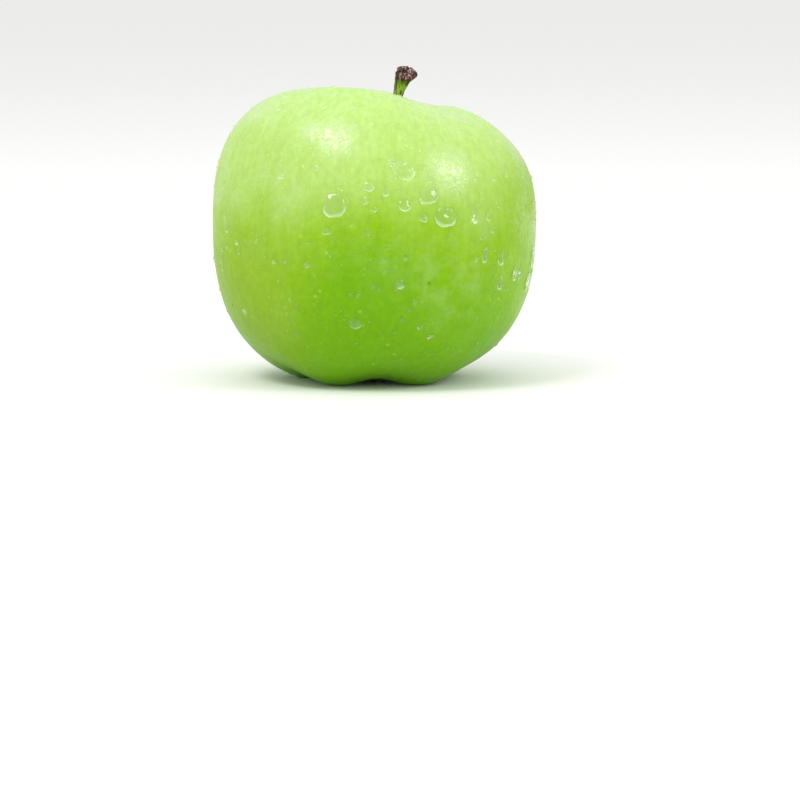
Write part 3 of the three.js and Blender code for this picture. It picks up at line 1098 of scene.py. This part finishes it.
def large_drops(bench, spots, size):
    """The large drops, where they were put, spread unevenly over the wax."""

    def read(name, kind="FLOAT"):
        inputs = {"Name": name}
        return bench.node("GeometryNodeInputNamedAttribute", inputs, "Attribute", data_type=kind)

    points = bench.node("GeometryNodeMeshToPoints", {"Mesh": spots})
    drop = bead(bench, *LARGE_BEAD)
    facing = read("facing", "FLOAT_VECTOR")
    drops = stand(bench, points, drop, read("across"), facing, FLATTENING, read("run"), read("lean"))
    place = bench.node("GeometryNodeInputPosition")
    stray = bench.noise(place, 420.0, 1.0, output="Color")
    stray = bench.vector_math("SUBTRACT", stray, (0.5, 0.5, 0.5))
    drops = bench.node("GeometryNodeRealizeInstances", {"Geometry": drops})
    inputs = {"Geometry": drops, "Offset": bench.scaled(stray, size.wander * 2)}
    return bench.node("GeometryNodeSetPosition", inputs)


def small_drops(bench, size):
    """Small drops scattered over the skin, except at its foot."""
    skin = bench.node("GeometryNodeObjectInfo", {"Object": bpy.data.objects["fruit_skin"]}, "Geometry")
    height = bench.split(bench.node("GeometryNodeInputPosition"))[2]
    inputs = {
        "Mesh": skin,
        "Distance Min": size.spacing,
        "Density Max": size.density,
        "Density Factor": bench.step(height, 0.004, 0.022),
        "Seed": size.seed,
    }
    kind = "GeometryNodeDistributePointsOnFaces"
    scatter = bench.node(kind, inputs, "Points", distribute_method="POISSON")
    facing = Wire(bench, scatter.socket.node.outputs["Normal"])
    luck = bench.random(0.0, 1.0, size.seed + 1)
    wide = size.smallest + (size.largest - size.smallest) * luck**size.rarity
    return stand(bench, scatter, bead(bench, *SMALL_BEAD), wide, facing)


def water_nodes(bench, spots, size):
    return bench.join(large_drops(bench, spots, size), small_drops(bench, size))


def large_drop_spots():
    """A mesh of one point on the skin for each large drop, with the way that the skin faces there."""
    skin = bpy.data.objects["fruit_skin"].data
    tree = BVHTree.FromPolygons([v.co for v in skin.vertices], [p.vertices for p in skin.polygons])
    points, facings = [], []
    for towards, tall, *_ in LARGE_DROPS:
        outward = Vector((cos(radians(towards)), sin(radians(towards)), 0))
        hit, normal, _, _ = tree.ray_cast(outward * 0.1 + Vector((0, 0, tall * MM)), -outward)
        if hit is None:
            raise RuntimeError("a drop of water misses the skin")
        points.append(hit)
        facings.append(normal)
    mesh = bpy.data.meshes.new("drop_spots")
    mesh.from_pydata(points, [], [])
    columns = zip(*((wide * MM, run, radians(lean)) for _, _, wide, run, lean in LARGE_DROPS))
    for key, values in zip(("across", "run", "lean"), columns):
        mesh.attributes.new(key, "FLOAT", "POINT").data.foreach_set("value", values)
    flat = [part for facing in facings for part in facing]
    mesh.attributes.new("facing", "FLOAT_VECTOR", "POINT").data.foreach_set("vector", flat)
    return mesh


def water_material(water):
    """Clear water that lets lamps through to the skin, with a painted caustic: a pale colour along its lower
    rim stands in for the light it gathers there.
    """
    material, bench, _ = new_material("clear_water")
    # Painted caustic: along the lower rim the pale rim colour takes the place of clear water.
    gathered = bench.step(bench.stored("low"), 0.92, 1.26) * water.painted_caustic_share
    inputs = {
        "Base Color": bench.mix(gathered, water.tint, water.rim),
        "Roughness": 0.03,
        "Transmission Weight": 1 - gathered,
        "IOR": 1.25,
        "Coat Weight": 1.0,
        "Coat Roughness": 0.06,
        "Coat IOR": 1.62,
    }
    glass = bench.node("ShaderNodeBsdfPrincipled", inputs)
    clear = bench.node("ShaderNodeBsdfTransparent", {"Color": water.tint})
    lamp = bench.node("ShaderNodeLightPath", output="Is Shadow Ray")
    share = water.clearness + (1 - water.clearness) * lamp
    drop = bench.node("ShaderNodeMixShader", {0: share, 1: glass, 2: clear})
    bench.node("ShaderNodeOutputMaterial", {"Surface": drop})
    return material


class APPLE_OT_water(bpy.types.Operator):
    """Wet the skin with drops of water"""

    bl_idname = "apple.water"
    bl_label = "Drops of water"

    def execute(self, context):
        water = context.scene.apple_water
        material = water_material(water)
        drops = grow("water_drops", large_drop_spots(), water, WATER_FIELDS, water_nodes, material)
        drops.cycles.is_caustics_caster = True
        finish_piece(drops, "water")
        return {"FINISHED"}


# ---- The stage ----------------------------------------------------------------------------------

# The lamps: which setting has the watts, the direction from the apple, then how far off it is and its
# width and height, in metres.
LAMPS = (
    ("key", (-0.40, -0.46, 0.79), 1.1, 0.44, 0.28),
    ("side", (0.76, -0.38, 0.53), 1.1, 0.28, 0.28),
    ("top", (0.0, -0.1, 1.0), 1.5, 1.8, 1.8),
)

# Half the floor's side in metres, the share of the fruit's height that the lamps and the camera aim
# at, and the width of the camera's sensor in millimetres.
FLOOR_HALF = 20.0
AIM_SHARE = 0.525
SENSOR = 36


def area_light(name, towards, distance, wide, tall, watts, aim):
    """A soft rectangular light, off the apple in a direction, shining on it."""
    lamp = bpy.data.lights.new(name, "AREA")
    lamp.shape = "RECTANGLE"
    lamp.size, lamp.size_y = wide, tall
    lamp.energy = watts
    lamp.cycles.is_caustics_light = True
    light = bpy.data.objects.new(name, lamp)
    light.location = aim + Vector(towards).normalized() * distance
    light.rotation_euler = (aim - light.location).to_track_quat("-Z", "Y").to_euler()
    bpy.context.collection.objects.link(light)


def floor_material(stage):
    material, bench, place = new_material("pale_floor")
    grain = bench.noise(place, 30.0, 3.0)
    rough = 0.9 + 0.05 * (grain - 0.5)
    surface(bench, Base_Color=stage.floor_colour, Roughness=rough, Specular_IOR_Level=0.2)
    return material


def add_camera(stage, aim):
    camera = bpy.data.objects.new("camera", bpy.data.cameras.new("camera"))
    bpy.context.collection.objects.link(camera)
    down = stage.view_height
    camera.location = aim + stage.view_distance * Vector((0, -cos(down), sin(down)))
    target = aim + Vector((stage.aim_right, 0, -stage.aim_down))
    camera.rotation_euler = (target - camera.location).to_track_quat("-Z", "Y").to_euler()
    camera.data.sensor_width = SENSOR
    camera.data.lens = SENSOR * stage.view_distance / stage.view_width
    camera.data.clip_start = 0.02
    bpy.context.scene.camera = camera


class APPLE_OT_stage(bpy.types.Operator):
    """Lay the floor and set the lights and the camera"""

    bl_idname = "apple.stage"
    bl_label = "Stage"

    def execute(self, context):
        stage = context.scene.apple_stage
        aim = Vector((0, 0, FRUIT_LOW[2] + AIM_SHARE * FRUIT_TALL))
        low, high = -FLOOR_HALF, FLOOR_HALF
        corners = [(low, low, 0), (high, low, 0), (high, high, 0), (low, high, 0)]
        floor = new_mesh("floor", corners, [(0, 1, 2, 3)], floor_material(stage))
        for name, *shape in LAMPS:
            area_light(f"{name}_light", *shape, getattr(stage, name), aim)
        world = bpy.data.worlds.new("studio")
        world.use_nodes = True
        background = world.node_tree.nodes["Background"]
        background.inputs["Color"].default_value = (1, 1, 1, 1)
        background.inputs["Strength"].default_value = stage.sky
        context.scene.world = world
        add_camera(stage, aim)
        context.scene.view_settings.view_transform = "Standard"
        return {"FINISHED"}


# ---- The sidebar and the run --------------------------------------------------------------------

SETTINGS = {
    "apple_fruit": AppleFruitSettings,
    "apple_stem": AppleStemSettings,
    "apple_calyx": AppleCalyxSettings,
    "apple_water": AppleWaterSettings,
    "apple_stage": AppleStageSettings,
}
OPERATORS = (APPLE_OT_fruit, APPLE_OT_stem, APPLE_OT_sepals, APPLE_OT_stamens, APPLE_OT_water, APPLE_OT_stage)


class APPLE_PT_sidebar(bpy.types.Panel):
    """Lists the apple's operators in the order that they run in"""

    bl_label = "Green Apple"
    bl_idname = "APPLE_PT_sidebar"
    bl_space_type = "VIEW_3D"
    bl_region_type = "UI"
    bl_category = "Apple"

    def draw(self, context):
        column = self.layout.column()
        for operator in OPERATORS:
            column.operator(operator.bl_idname)


def register():
    for cls in (*SETTINGS.values(), *OPERATORS, APPLE_PT_sidebar):
        bpy.utils.register_class(cls)
    for name, cls in SETTINGS.items():
        setattr(bpy.types.Scene, name, PointerProperty(type=cls))


def unregister():
    for name in SETTINGS:
        delattr(bpy.types.Scene, name)
    for cls in (APPLE_PT_sidebar, *reversed(OPERATORS), *reversed(SETTINGS.values())):
        bpy.utils.unregister_class(cls)


def main():
    register()
    bpy.ops.apple.fruit()
    bpy.ops.apple.stem()
    bpy.ops.apple.sepals()
    bpy.ops.apple.stamens()
    bpy.ops.apple.water()
    bpy.ops.apple.stage()


if __name__ == "__main__":
    main()
